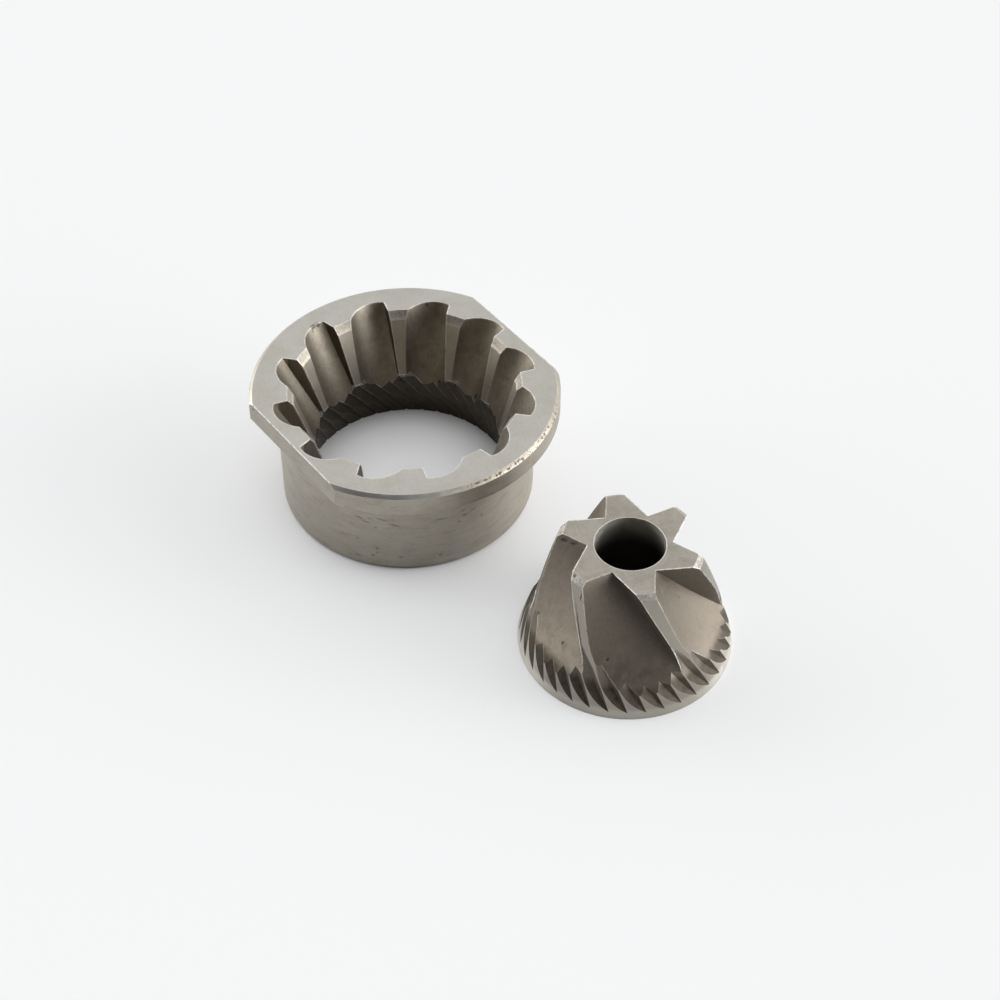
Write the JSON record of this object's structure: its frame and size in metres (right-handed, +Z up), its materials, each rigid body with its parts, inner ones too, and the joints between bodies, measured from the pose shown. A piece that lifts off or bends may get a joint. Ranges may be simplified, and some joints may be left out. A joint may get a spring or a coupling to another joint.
{
  "type": "conical coffee grinder burr",
  "caption": "Matched pair of steel conical grinding burrs: a flanged outer ring with feed scoops and fine teeth inside, and a fluted inner cone with a shaft bore.",
  "frame": {"origin": "on the floor plane, at the centre of the bounding box of the two burrs", "axes": "+Z up along both burr axes; the ring stands towards -X +Y and the cone towards +X -Y"},
  "size_m": [0.0916, 0.0916, 0.025],
  "materials": {
    "ring_steel": "satin, turned and ground",
    "cone_steel": "satin, ground"
  },
  "bodies": {
    "root": {"ring_burr": "ring_steel", "cone_burr": "cone_steel"}
  },
  "joints": []
}
